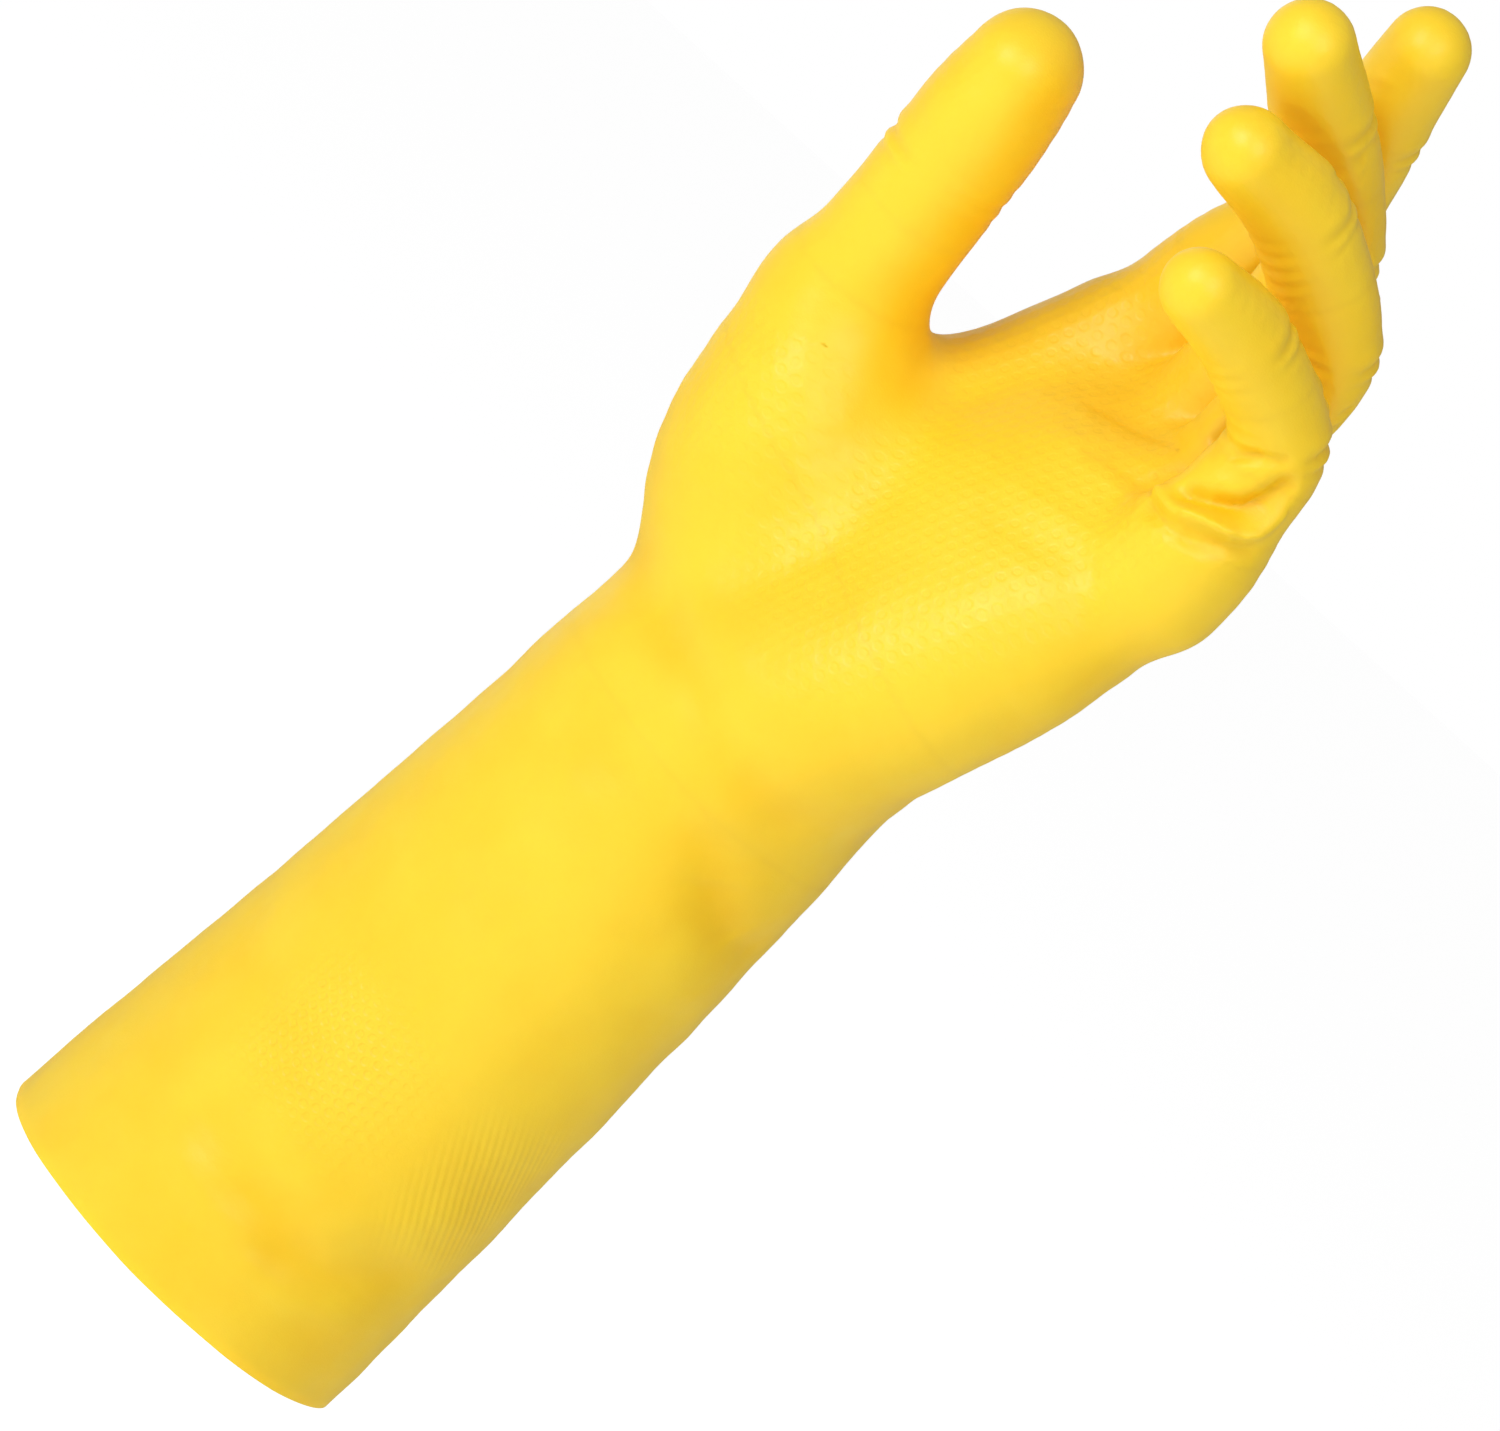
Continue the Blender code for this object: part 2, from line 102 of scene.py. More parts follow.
# Fingers: distance from knuckle to first joint, then half widths at the knuckle, at mid bone, at the first,
# middle and end joints and at the tip.
FINGERS = {
    "index": (22.0, (11.9, 11.5, 9.8, 8.4, 7.9, 7.6)),
    "middle": (22.5, (11.8, 9.8, 8.7, 8.4, 8.1, 7.9)),
    "ring": (21.0, (11.2, 9.6, 8.7, 8.3, 8.1, 7.7)),
    "little": (17.5, (11.0, 11.2, 9.2, 7.9, 7.3, 6.9)),
}
# Small moves of a finger's knuckle, its three joints and its tip, where the film stands off the bones.
NUDGES = {
    "index": ((-1.1, -1.0, 1.4), (-2.2, -2.0, 2.7), (-0.8, -0.7, 1.0), (-0.5, -0.6, -1.3), (0.5, 0.9, -1.2)),
    "middle": ((0, 0, 0), (0, 0, 0), (-0.4, -0.8, -0.9), (-0.8, -1.0, -1.3), (0.6, 1.8, 0.0)),
    "ring": ((0, 0, 0), (0, 0, 0), (-0.5, -1.0, -1.1), (-0.4, -0.6, -0.2), (-0.6, -0.9, 0)),
    "little": ((0.5, 0.7, 0.5), (0.8, 1.1, 0.5), (0, 0, 0), (0, 0, 0), (0, -0.4, 0)),
}
FINGER_DEPTH = 1.05
TIP_DEPTH = 0.94
# The gap between neighbouring fingers, and where it opens: from and to, past each finger's first joint.
FINGER_GAP = 4.4
WEB_REACH = (-8.0, -4.0)
WEB_DEPTH = 8.0

# Thumb: its root in hand coordinates and how far its knuckle is behind the first joint. Then rows of distance
# along a bone, half width and half depth: in millimetres for the ball, in shares of the bone for the rest.
THUMB_START = (-18.9, -9.4, 15.1)
THUMB_KNUCKLE_BACK = 13.5
THUMB_BALL = ((-7.0, 24.2, 22.0), (3.0, 26.2, 23.4), (13.0, 26.3, 24.6), (26.0, 22.2, 20.9),
              (44.0, 13.7, 13.5))
THUMB_HALF = ((0.0, 12.7, 12.0), (1.0, 12.8, 11.5))
THUMB_TIP_HALF = ((0.42, 13.3, 11.3), (0.8, 12.1, 10.0))
# The film stands off the thumb's bones too: past its tip, and to one side at first joint, end joint and tip.
THUMB_LONGER = 2.6
THUMB_LEAN = (0.30, 0.63, 0.71)
THUMB_LEAN_BY = (0.3, 0.8, 0.9)
# The web between the thumb and the index finger, in hand coordinates, with half width and half depth.
WEB_PATH = ((-24, -25, 30, 9, 9), (-27.5, -20, 41, 9.3, 9.3), (-28.6, -12, 51.5, 9.9, 9.9),
            (-28.5, -7, 65, 11, 11), (-28.2, -4.2, 81, 11.3, 11.3))

# How softly the limbs run into each other.
JOIN_BALL = 9.0
JOIN_WEB = 8.0
JOIN_HEEL = 9.0
JOIN_FINGERS = 5.5
JOIN_FINGER_ROOTS = 1.5
JOIN_THUMB = 5.0


# ---------------------------------------------------------------- small helpers
def unit(vector):
    """The vector with length one."""
    vector = np.asarray(vector, float)
    return vector / np.linalg.norm(vector)


def soft_min(first, second, reach):
    """The smaller of two distances, rounded over where they are nearly equal."""
    overlap = np.maximum(reach - np.abs(first - second), 0.0) / reach
    return np.minimum(first, second) - overlap * overlap * reach * 0.25


def smooth_step(low, high, value):
    """0 below low, 1 above high and a smooth turn between."""
    share = np.clip((value - low) / (high - low), 0.0, 1.0)
    return share * share * (3.0 - 2.0 * share)


def curve_through(rows, step=SPINE_STEP):
    """Rows of numbers, resampled about every step along a smooth curve through their first three columns."""
    rows = np.array(rows, float)
    padded = np.vstack([2 * rows[0] - rows[1], rows, 2 * rows[-1] - rows[-2]])
    out = []
    for index in range(len(rows) - 1):
        before, here, there, after = padded[index:index + 4]
        count = max(1, int(round(np.linalg.norm((there - here)[:3]) / step)))
        for t in np.arange(count) / count:
            out.append(0.5 * (2 * here + (there - before) * t
                              + (2 * before - 5 * here + 4 * there - after) * t ** 2
                              + (3 * here - before - 3 * there + after) * t ** 3))
    out.append(rows[-1])
    return np.array(out)


# ---------------------------------------------------------------- the frame's joints
for old in list(bpy.data.objects):
    bpy.data.objects.remove(old)
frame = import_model()
bpy.context.view_layer.update()
cad_box = [list(corner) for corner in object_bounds()]
JOINTS = {j["name"]: (np.array(j["pos_m"], float) / MM, unit(j["axis"])) for j in frame["joints"]}
WRIST, HAND_X = JOINTS["wrist_bend"]
HAND_Z = JOINTS["knuckle_bend"][0] - WRIST
HAND_Z = unit(HAND_Z - HAND_X * (HAND_Z @ HAND_X))
HAND_Y = np.cross(HAND_Z, HAND_X)
HAND = np.array([HAND_X, HAND_Y, HAND_Z])


def hand(x, y, z):
    """A point of the hand in the frame's axes."""
    return WRIST + np.array([x, y, z], float) @ HAND


def to_hand(points):
    """Points of the frame in hand coordinates."""
    return (points - WRIST) @ HAND.T


def node_far_point(node, start):
    """The point of a CAD node farthest from start."""
    mesh = frame["nodes"][node].data
    points = np.zeros(len(mesh.vertices) * 3)
    mesh.vertices.foreach_get("co", points)
    points = points.reshape(-1, 3) / MM
    return points[np.argmax(np.linalg.norm(points - start, axis=1))]


def finger_bones(finger):
    """Knuckle, first, middle and end joints, and the tip of a finger."""
    first, middle, end = [JOINTS[f"{finger}_{part}_bend"][0] for part in ("root", "middle", "end")]
    knuckle = first - unit(middle - first) * FINGERS[finger][0]
    far = node_far_point(f"{finger}_tip", end)
    side = JOINTS[f"{finger}_middle_bend"][1]
    line = far - end
    line = line - side * (line @ side)
    tip = end + line
    bones = np.array([knuckle, first, middle, end, tip]) + NUDGES[finger]
    return *bones, side


def thumb_bones():
    """Start, knuckle, first and end joints, and the tip of the thumb."""
    first, end = JOINTS["thumb_root_bend"][0], JOINTS["thumb_end_bend"][0]
    knuckle = first - unit(end - first) * THUMB_KNUCKLE_BACK
    side = JOINTS["thumb_end_bend"][1]
    far = node_far_point("thumb_tip", end)
    line = far - end
    line = line - side * (line @ side)
    tip = end + line + unit(line) * THUMB_LONGER
    leant = [point + by * np.array(THUMB_LEAN) for point, by in zip((first, end, tip), THUMB_LEAN_BY)]
    return hand(*THUMB_START), knuckle, *leant, side


# ---------------------------------------------------------------- the distance field
class Field:
    """Distances on a regular grid that holds the whole glove."""

    def __init__(self, low, high):
        self.low = np.array(low, float)
        self.size = np.ceil((np.array(high) - self.low) / VOXEL).astype(int) + 1

    def empty(self):
        return np.full(self.size, EMPTY, np.float32)

    def block(self, low, high):
        """Slices of the grid between two corners, and the coordinates of its points."""
        start = np.clip(np.floor((low - self.low) / VOXEL).astype(int), 0, self.size - 1)
        stop = np.clip(np.ceil((high - self.low) / VOXEL).astype(int) + 1, start + 1, self.size)
        slices = tuple(slice(a, b) for a, b in zip(start, stop))
        axes = [(self.low[k] + VOXEL * np.arange(start[k], stop[k])).astype(np.float32) for k in range(3)]
        return slices, np.meshgrid(*axes, indexing="ij", sparse=True)


def add_tube(field, layer, rows, side):
    """Puts an oval tube into the layer. Each row is x, y, z, half width along side, half depth."""
    rows = curve_through(rows)
    for here, there in zip(rows, rows[1:]):
        reach = max(here[3:].max(), there[3:].max()) + TUBE_ROOM
        low = np.minimum(here[:3], there[:3]) - reach
        high = np.maximum(here[:3], there[:3]) + reach
        slices, (x, y, z) = field.block(low, high)
        axis = there[:3] - here[:3]
        length = np.linalg.norm(axis)
        axis = axis / length
        x_dir = unit(side - axis * (side @ axis))
        y_dir = np.cross(axis, x_dir)
        dx, dy, dz = x - here[0], y - here[1], z - here[2]
        along = dx * axis[0] + dy * axis[1] + dz * axis[2]
        u = dx * x_dir[0] + dy * x_dir[1] + dz * x_dir[2] + 1e-3
        v = dx * y_dir[0] + dy * y_dir[1] + dz * y_dir[2]
        share = np.clip(along / length, 0.0, 1.0)
        half_x = here[3] + (there[3] - here[3]) * share
        half_y = here[4] + (there[4] - here[4]) * share
        past = along - share * length
        half_z = np.minimum(half_x, half_y)
        reached = np.sqrt((u / half_x) ** 2 + (v / half_y) ** 2 + (past / half_z) ** 2)
        slope = np.sqrt((u / half_x ** 2) ** 2 + (v / half_y ** 2) ** 2 + (past / half_z ** 2) ** 2)
        distance = reached * (reached - 1.0) / np.maximum(slope, 1e-6)
        layer[slices] = np.minimum(layer[slices], distance)


def glove_field():
    """The distance field of the whole glove, filled solid."""
    low, high = np.array(cad_box[0]) / MM, np.array(cad_box[1]) / MM
    field = Field(low - FIELD_ROOM[0], high + FIELD_ROOM[1])

    body = field.empty()
    rows = list(SLEEVE)
    rows += [(*hand(x, y, z), a, b) for x, y, z, a, b in PALM]
    add_tube(field, body, rows, np.array([1.0, 0.0, 0.0]))

    heel = field.empty()
    add_tube(field, heel, [(*hand(x, y, z), a, b) for x, y, z, a, b in HEEL], HAND_X)
    body = soft_min(body, heel, JOIN_HEEL)

    start, knuckle, first, end, tip, side = thumb_bones()
    ball = field.empty()
    aim = unit(knuckle - start)
    rows = [(*(start + aim * s), a, b) for s, a, b in THUMB_BALL]
    add_tube(field, ball, rows, side)
    body = soft_min(body, ball, JOIN_BALL)

    web = field.empty()
    add_tube(field, web, [(*hand(x, y, z), a, b) for x, y, z, a, b in WEB_PATH], HAND_X)
    body = soft_min(body, web, JOIN_WEB)

    thumb = field.empty()
    rows = [(*knuckle, *THUMB_BALL[-1][1:])]
    rows += [(*(first + (end - first) * s), a, b) for s, a, b in THUMB_HALF]
    tip_half = THUMB_TIP_HALF[-1]
    line = tip - end
    reach = np.linalg.norm(line) - min(tip_half[1:])
    rows += [(*(end + unit(line) * reach * s / tip_half[0]), a, b) for s, a, b in THUMB_TIP_HALF]
    add_tube(field, thumb, rows, side)
    body = soft_min(body, thumb, JOIN_THUMB)

    body = soft_min(body, separate_fingers(field), JOIN_FINGERS)
    return field, body


def separate_fingers(field):
    """The four fingers, joined at their roots and kept a little apart from there on."""
    joined = field.empty()
    nearest, next_nearest = field.empty(), field.empty()
    nearest_past, next_past = field.empty(), field.empty()
    _, (x, y, z) = field.block(field.low, field.low + VOXEL * field.size)
    for finger, (_, half) in FINGERS.items():
        knuckle, first, middle, end, tip, side = finger_bones(finger)
        line = unit(tip - end)
        tip_centre = tip - line * half[5] * TIP_DEPTH
        deep = [h * FINGER_DEPTH for h in half]
        rows = [(*knuckle, half[0], deep[0]), (*((knuckle + first) / 2), half[1], deep[1]),
                (*first, half[2], deep[2]), (*middle, half[3], deep[3]), (*end, half[4], deep[4]),
                (*tip_centre, half[5], half[5] * TIP_DEPTH)]
        one = field.empty()
        add_tube(field, one, rows, side)
        joined = soft_min(joined, one, JOIN_FINGER_ROOTS)
        aim = unit(middle - first)
        past = (x - first[0]) * aim[0] + (y - first[1]) * aim[1] + (z - first[2]) * aim[2]
        closest = one < nearest
        second = ~closest & (one < next_nearest)
        next_nearest = np.where(closest, nearest, np.where(second, one, next_nearest))
        next_past = np.where(closest, nearest_past, np.where(second, past, next_past))
        nearest = np.where(closest, one, nearest)
        nearest_past = np.where(closest, past, nearest_past)
    apart = smooth_step(*WEB_REACH, np.minimum(nearest_past, next_past))
    cut = 0.5 * (FINGER_GAP - (next_nearest - nearest)) - WEB_DEPTH * (1.0 - apart)
    return np.maximum(joined, cut).astype(np.float32)


# ---------------------------------------------------------------- meshing
def surface_net(field, values):
    """Vertices and quads where the field is zero: one vertex in each grid cell that the surface crosses."""
    inside = values < 0
    nx, ny, nz = values.shape
    corner_count = np.zeros((nx - 1, ny - 1, nz - 1), np.uint8)
    for i in (0, 1):
        for j in (0, 1):
            for k in (0, 1):
                corner_count += inside[i:nx - 1 + i, j:ny - 1 + j, k:nz - 1 + k]
    active = (corner_count > 0) & (corner_count < 8)
    cells = np.argwhere(active)
    number = np.full(active.shape, -1, np.int64)
    number[active] = np.arange(len(cells))
    total = np.zeros((len(cells), 3))
    hits = np.zeros(len(cells))
    i, j, k = cells.T
    for axis in range(3):
        others = [a for a in range(3) if a != axis]
        for first in (0, 1):
            for second in (0, 1):
                offset = np.zeros(3, int)
                offset[others[0]], offset[others[1]] = first, second
                a = values[i + offset[0], j + offset[1], k + offset[2]]
                step = offset.copy()
                step[axis] = 1
                b = values[i + step[0], j + step[1], k + step[2]]
                crossed = (a < 0) != (b < 0)
                share = np.where(crossed, a / np.where(crossed, a - b, 1.0), 0.0)
                point = np.zeros((len(cells), 3))
                point[:, axis] = share
                point[:, others[0]] = first
                point[:, others[1]] = second
                total += point * crossed[:, None]
                hits += crossed
    points = field.low + VOXEL * (cells + total / hits[:, None])
    quads = []
    for axis in range(3):
        others = [a for a in range(3) if a != axis]
        low = [slice(None)] * 3
        high = [slice(None)] * 3
        low[axis], high[axis] = slice(0, -1), slice(1, None)
        crossed = inside[tuple(low)] != inside[tuple(high)]
        edges = np.argwhere(crossed)
        last = np.array(values.shape)[others] - 1
        keep = ((edges[:, others] > 0) & (edges[:, others] < last)).all(1)
        edges = edges[keep]
        corners = []
        for first, second in ((-1, -1), (0, -1), (0, 0), (-1, 0)):
            cell = edges.copy()
            cell[:, others[0]] += first
            cell[:, others[1]] += second
            corners.append(number[cell[:, 0], cell[:, 1], cell[:, 2]])
        quad = np.stack(corners, 1)
        outwards = inside[edges[:, 0], edges[:, 1], edges[:, 2]]
        if axis == 1:
            outwards = ~outwards
        quad[~outwards] = quad[~outwards][:, ::-1]
        quads.append(quad)
    return points, np.vstack(quads)


def vertex_normals(points, quads):
    """Smooth normals of a quad mesh, weighted by area."""
    across = points[quads[:, 2]] - points[quads[:, 0]]
    over = points[quads[:, 3]] - points[quads[:, 1]]
    facing = np.cross(across, over)
    normals = np.zeros_like(points)
    for corner in range(4):
        for k in range(3):
            normals[:, k] += np.bincount(quads[:, corner], facing[:, k], len(points))
    return normals / np.maximum(np.linalg.norm(normals, axis=1), 1e-9)[:, None]


def side_edges(faces):
    """The four edges of each face, as directed pairs of vertices: all first edges, then all second ones."""
    return np.vstack([faces[:, [a, (a + 1) % 4]] for a in range(4)])


def open_edges(faces):
    """Edges used by only one face, as directed pairs."""
    edges = side_edges(faces)
    _, where, count = np.unique(np.sort(edges, 1), axis=0, return_index=True, return_counts=True)
    return edges[where[count == 1]]


def smoothed(points, quads, rounds, fixed):
    """Points moved towards the middle of their neighbours, and back out so that the skin doesn't shrink."""
    edges = side_edges(quads)
    count = np.bincount(edges[:, 0], minlength=len(points)) + np.bincount(edges[:, 1], minlength=len(points))
    for step in [0.5, -0.52] * rounds:
        total = np.zeros_like(points)
        for k in range(3):
            total[:, k] = np.bincount(edges[:, 0], points[edges[:, 1], k], len(points))
            total[:, k] += np.bincount(edges[:, 1], points[edges[:, 0], k], len(points))
        moved = points + step * (total / count[:, None] - points)
        moved[fixed] = points[fixed]
        points = moved
    return points


def cut_at_cuff(points, quads):
    """Drops the skin below the cuff's edge and lays the cut vertices, the rim, in its plane."""
    keep = (points[quads, 2] > -0.5 * VOXEL).all(1)
    quads = quads[keep]
    used = np.unique(quads)
    renumber = np.full(len(points), -1)
    renumber[used] = np.arange(len(used))
    points, quads = points[used], renumber[quads]
    rim = np.unique(open_edges(quads))
    points[rim, 2] = 0.0
    return points, quads, rim


# ---------------------------------------------------------------- details of the film
# Pressed-in strokes, here and on the sleeve, also take painted shade: the film's colour deepens with their
# depth.
# Raised (+) and pressed (-) strokes of the film on the palm side, in hand coordinates:
# height, half width, share of depth that counts, then the points that the stroke runs through.
STROKES = (
    # the lip of film at the root of the little finger, the hollow above it and the dip below it
    (2.4, 1.3, 0.8, (27, -17.5, 82), (32.7, -17.4, 83.4), (35.9, -15.3, 87), (37.7, -12.2, 89.3),
     (37.8, -9, 93), (36.5, -8, 97)),
    (-2.7, 1.7, 0.8, (31, -17.9, 86), (34.8, -16.3, 89.3), (36.6, -13.8, 92.7), (36.5, -12.8, 95.5),
     (35.7, -12.5, 100)),
    (-1.2, 1.6, 0.8, (29, -17.8, 79), (36.5, -15.5, 82.5), (38.6, -11.5, 86.5), (39, -7.5, 90)),
    (-1.1, 1.0, 0.8, (27, -18.5, 93.5), (30.5, -19.4, 95.5), (33.2, -19.2, 98.8), (35, -16.8, 102)),
    # the soft dip below the index and middle fingers
    (-0.9, 7.0, 0.3, (-19, -12.5, 86), (-6, -12.5, 83), (8, -12.3, 85)),
    # folds that run from there across the palm
    (-0.7, 2.0, 0.3, (22, -15, 86), (11, -12, 86), (3, -13, 82), (-5, -13, 77)),
    (0.5, 2.6, 0.3, (24, -16, 80), (15, -16, 75), (4, -16, 72)),
    (-0.6, 2.2, 0.3, (29, -18, 81), (22, -15, 81), (14, -15.5, 77), (7, -15.6, 73.6)),
    (0.45, 2.8, 0.3, (28, -16, 71), (19, -17, 65), (10, -18, 60)),
    (-0.4, 3.0, 0.3, (31, -15, 66), (22, -17, 59), (13, -19, 54)),
    # the dimple near the heel of the palm
    (-0.5, 2.6, 0.3, (7, -25, 24), (9, -25, 27)),
    # the valley across the wrist
    (-1.1, 4.2, 0.5, (-24, -22, -7), (-12, -27, -4), (0, -28.8, -3), (18.5, -26, -0.4), (34.9, -9.3, 0),
     (36, 8, 7)),
    (0.5, 4.0, 0.5, (-14, -28, 5), (2, -30, 6), (19, -27, 8), (34, -12, 10)),
)
# The same on the forearm sleeve, in the frame's own axes.
SLEEVE_STROKES = (
    (-1.4, 4.2, 0.6, (34, -8, 126), (35, -1, 121), (35, 7, 117), (32, 15, 116)),
    (-0.8, 7.0, 0.6, (35, -4, 118), (35, 6, 110)),
    (0.5, 4.0, 0.6, (36, -4, 112), (35, 8, 104)),
    (-1.1, 6.0, 0.5, (24, -29, 33), (33, -21, 28), (39, -9, 27), (41, 4, 33)),
    (0.5, 4.0, 0.5, (25, -30, 22), (35, -20, 18), (40, -8, 17)),
    (-0.5, 3.5, 0.5, (31, -24, 14), (38, -13, 20), (41, -2, 26), (41, 9, 36)),
    (0.4, 3.5, 0.5, (36, -18, 40), (40, -6, 42), (40, 8, 48)),
    (-0.4, 5.0, 0.5, (-20, -31, 60), (-4, -34, 54), (12, -33, 52)),
    (-0.5, 4.5, 0.5, (-38, 6, 70), (-34, 18, 62), (-22, 29, 58)),
    (-0.5, 4.0, 0.5, (-12, 33, 108), (4, 33, 102), (20, 28, 104)),
    (0.4, 4.0, 0.5, (-14, 33, 98), (4, 34, 92), (22, 28, 95)),
)
# How strong a stroke is in each part of its length.
STROKE_STRENGTHS = (0.75, 1.0, 0.75)
STROKE_STEP = 2.0
WAVE_HEIGHT = 0.17
JOINT_CREASE = 0.75
# The cuff's edge: how far it rises on the side it is raised towards, how far it drops on the other side, its
# slight wave, and how far up the sleeve all of this fades out.
RIM_RAISE = 7.0
RIM_DROP = 1.5
RIM_WAVE = 0.3
RIM_RAISE_AIM = (0.94, -0.34)
RIM_FADE = 46.0


def distance_to_path(points, path, depth_axis, depth_share):
    """Distance from points to a path of straight runs. Distance along one axis counts only in part."""
    scale = np.ones(3)
    scale[depth_axis] = depth_share
    points, path = points * scale, np.array(path, float) * scale
    nearest = np.full(len(points), FAR)
    for here, there in zip(path, path[1:]):
        run = there - here
        share = np.clip((points - here) @ run / (run @ run), 0.0, 1.0)
        gap = points - here - share[:, None] * run
        nearest = np.minimum(nearest, (gap * gap).sum(1))
    return np.sqrt(nearest)


def stroke_heights(points, strokes, depth_axis):
    """Height added by raised and pressed strokes. They are weaker towards their ends."""
    total = np.zeros(len(points))
    for height, width, depth_share, *path in strokes:
        path = curve_through(path, STROKE_STEP)
        near = (np.abs(points - path.mean(0)) < np.ptp(path, axis=0) / 2 + 4 * width + 12).all(1)
        some = points[near]
        fade = np.zeros(len(some))
        runs = np.arange(len(path) - 1)
        strengths = STROKE_STRENGTHS if len(runs) >= len(STROKE_STRENGTHS) else (1.0,)
        for part, strength in zip(np.array_split(runs, len(strengths)), strengths):
            piece = path[part[0]:part[-1] + 2]
            away = distance_to_path(some, piece, depth_axis, depth_share)
            fade = np.maximum(fade, strength * np.exp(-(away / width) ** 2))
        total[near] += height * fade
    return total


def soft_waves(points, seed, size):
    """Slow random swells, from a few waves in random directions."""
    random = np.random.default_rng(seed)
    total = np.zeros(len(points))
    for _ in range(9):
        aim = unit(random.normal(size=3))
        pitch = size * random.uniform(0.7, 1.6)
        total += np.sin(points @ aim * (2 * math.pi / pitch) + random.uniform(0, 2 * math.pi))
    return total / 3.0


def joint_creases(points, normals):
    """Short creases across the inside of each finger and thumb joint, and soft ones over its back."""
    total = np.zeros(len(points))
    joints = []
    for finger in FINGERS:
        _, first, middle, end, tip, side = finger_bones(finger)
        joints += [(middle, first, end, side, 9.5, 1.0), (end, middle, tip, side, 9.0, 0.7)]
    _, _, first, end, tip, side = thumb_bones()
    joints += [(end, first, tip, side, 14.0, 0.8)]
    for centre, before, after, side, reach, strength in joints:
        into, out = unit(centre - before), unit(after - centre)
        along = unit(into + out)
        palmwards = np.cross(along, side)
        near = np.linalg.norm(points - centre, axis=1) < reach * 1.7
        offset = points[near] - centre
        s = offset @ along
        across = offset @ side
        inner = smooth_step(0.05, 0.7, normals[near] @ palmwards)
        outer = smooth_step(0.1, 0.8, -(normals[near] @ palmwards))
        wobble = 0.35 * np.sin(across * 0.55 + centre[0])
        crease = -np.exp(-((s - wobble) / 1.1) ** 2)
        crease -= 0.6 * np.exp(-((s + 2.9 + wobble) / 0.9) ** 2)
        crease += 0.45 * np.exp(-((s + 1.5) / 1.1) ** 2) + 0.4 * np.exp(-((s - 2.2) / 1.5) ** 2)
        back = -0.25 * np.cos(s * 1.9) * np.exp(-(s / 4.5) ** 2)
        total[near] += strength * JOINT_CREASE * (crease * inner + back * outer)
    return total


def detail(points, normals):
    """The film's points, moved along their normals into its creases, folds and swells."""
    in_hand = to_hand(points)
    height = stroke_heights(in_hand, STROKES, 1) * smooth_step(-0.45, 0.1, -(normals @ HAND_Y))
    height += stroke_heights(points, SLEEVE_STROKES, 1)
    height += joint_creases(points, normals)
    height += WAVE_HEIGHT * soft_waves(points, 5, 26.0)
    height += 0.4 * WAVE_HEIGHT * soft_waves(points, 8, 11.0)
    return points + normals * height[:, None], height


def raise_rim(points):
    """The cuff's edge, higher on one side than on the other, with a slight wave."""
    aim = np.array(RIM_RAISE_AIM)
    round_cuff = points[:, :2] / np.linalg.norm(points[:, :2], axis=1)[:, None]
    facing = round_cuff @ aim
    angle = np.arctan2(points[:, 1], points[:, 0])
    rise = RIM_RAISE * np.clip(facing * 0.9 + 0.1, 0, 1) ** 1.4 - RIM_DROP * np.clip(-facing, 0, 1)
    rise += RIM_WAVE * np.sin(3 * angle + 0.6)
    fade = 1.0 - smooth_step(0.0, RIM_FADE, points[:, 2])
    lifted = points.copy()
    lifted[:, 2] += rise * fade
    return lifted


# ---------------------------------------------------------------- dividing the skin between the joints
# Heights at which the wrist's stretch ends, in the frame, and the palm's, in hand coordinates.
WRIST_SPLIT = 130.5
PALM_SPLIT = 29.0
# How far before its first joint a finger or the thumb starts, and how far from its bones it reaches.
FINGER_START_BACK = 5.0
THUMB_START_BACK = 5.5
LIMB_REACH = 17.0
# Where along a bone one stretch ends and the next one begins.
LOWER_BONE_SHARE = {"index": 0.47, "middle": 0.45, "ring": 0.45, "little": 0.60}
UPPER_BONE_SHARE = 0.52
THUMB_BONE_SHARE = 0.5
STRAY_ROUNDS = 4


def regions(points):
    """Which stretch of the glove each point belongs to, as a number, and the stretches' names."""
    names = ["wrist", "palm", "knuckles"]
    in_hand = to_hand(points)
    where = np.where(points[:, 2] < WRIST_SPLIT, 0, np.where(in_hand[:, 2] < PALM_SPLIT, 1, 2))
    nearest = np.full(len(points), FAR)
    owner = np.full(len(points), -1)
    chains = {}
    for number, finger in enumerate(FINGERS):
        _, first, middle, end, tip, _ = finger_bones(finger)
        chains[number] = (finger, first - unit(middle - first) * FINGER_START_BACK, first, middle, end, tip)
    _, _, first, end, tip, _ = thumb_bones()
    chains[4] = ("thumb", first - unit(end - first) * THUMB_START_BACK, first, end, tip)
    for number, (_, *chain) in chains.items():
        away = distance_to_path(points, chain, 0, 1.0)
        closer = away < nearest
        nearest[closer] = away[closer]
        owner[closer] = number
    for number, (finger, start, *chain) in chains.items():
        aim = unit(chain[1] - chain[0])
        mine = (owner == number) & (nearest < LIMB_REACH) & ((points - start) @ aim > 0)
        if finger == "thumb":
            first, end, tip = chain
            cut = first + (end - first) * THUMB_BONE_SHARE
            where[mine] = len(names)
            where[mine & ((points - cut) @ aim > 0)] = len(names) + 1
            names += ["thumb_base", "thumb_tip"]
            continue
        first, middle, end, tip = chain
        low_cut = first + (middle - first) * LOWER_BONE_SHARE[finger]
        high_cut = middle + (end - middle) * UPPER_BONE_SHARE
        out = unit(end - middle)
        past_low = mine & ((points - low_cut) @ aim > 0)
        past_high = mine & ((points - high_cut) @ out > 0)
        where[mine] = len(names)
        where[past_low] = len(names) + 1
        where[past_high] = len(names) + 2
        names += [f"{finger}_base", f"{finger}_middle", f"{finger}_tip"]
    return where, names


